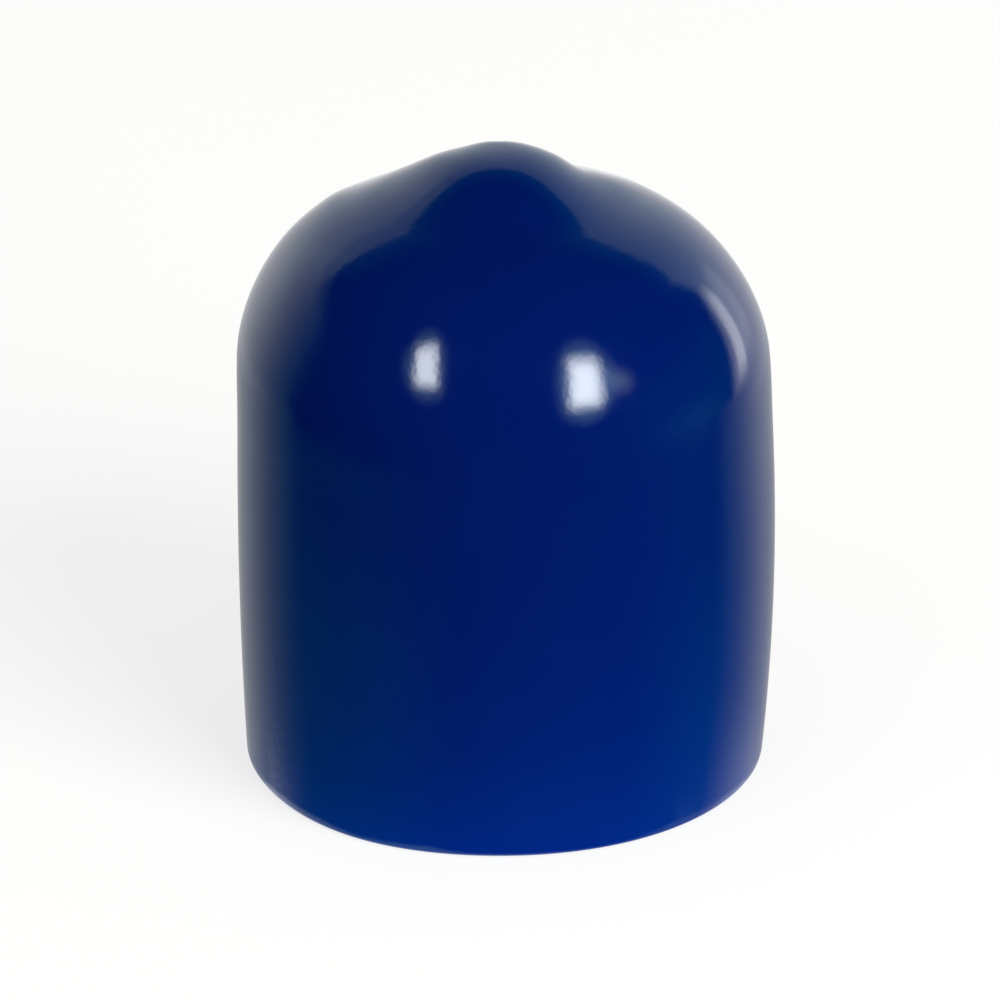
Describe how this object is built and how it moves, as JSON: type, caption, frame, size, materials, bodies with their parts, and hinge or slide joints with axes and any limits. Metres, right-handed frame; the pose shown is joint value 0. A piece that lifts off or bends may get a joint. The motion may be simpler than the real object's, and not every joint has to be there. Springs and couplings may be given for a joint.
{
  "type": "vinyl cap",
  "caption": "Round push-on vinyl cap: a soft one-piece cup with a straight bore, a domed closed end and a low moulding drip on its crown.",
  "frame": {"origin": "centre of the bounding box's underside, which is the centre of the open rim, on the cap's axis", "axes": "+Z along the cap's axis towards the closed end; the cap stands on its open rim, and -Y is the side that the picture was taken from"},
  "size_m": [0.0152, 0.0152, 0.0179],
  "materials": {
    "vinyl": "gloss, dip-moulded soft PVC, dark blue"
  },
  "bodies": {
    "root": {"cap": "vinyl"}
  },
  "joints": []
}
